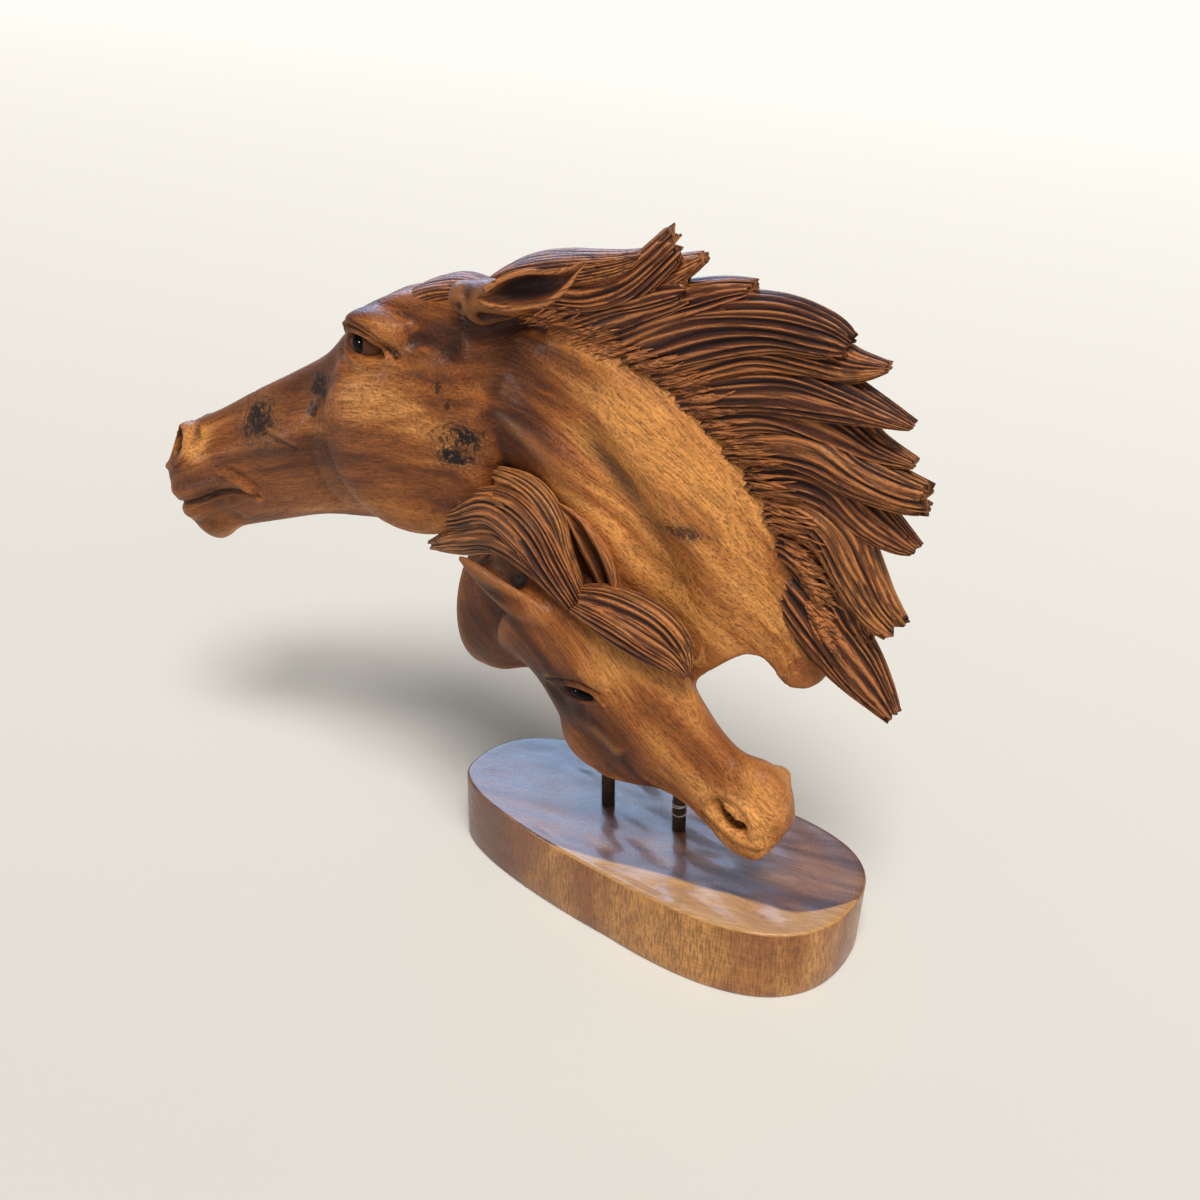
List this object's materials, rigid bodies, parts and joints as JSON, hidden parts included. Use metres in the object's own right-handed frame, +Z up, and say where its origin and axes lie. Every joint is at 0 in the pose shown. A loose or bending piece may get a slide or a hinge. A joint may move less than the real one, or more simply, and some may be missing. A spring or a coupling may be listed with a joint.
{
  "type": "carved wooden horse heads sculpture on a stand",
  "caption": "Carved wooden heads of a stallion with a wind-blown mane and a smaller horse before its neck, held by metal rods over an oval wooden slab",
  "frame": {"origin": "the middle of the slab's underside, where it stands on a table", "axes": "+Z up, +X along the slab's long axis towards the tips of the mane, -Y towards the side that is meant to be seen"},
  "size_m": [0.4728, 0.1168, 0.3972],
  "materials": {
    "carved_wood": "carved and varnished satin",
    "slab_wood": "sanded and varnished satin",
    "dark_metal": "dark, dull"
  },
  "bodies": {
    "root": {"horse_heads_carving": "carved_wood", "oval_base": "slab_wood", "left_rod": "dark_metal", "right_rod": "dark_metal"}
  },
  "joints": []
}
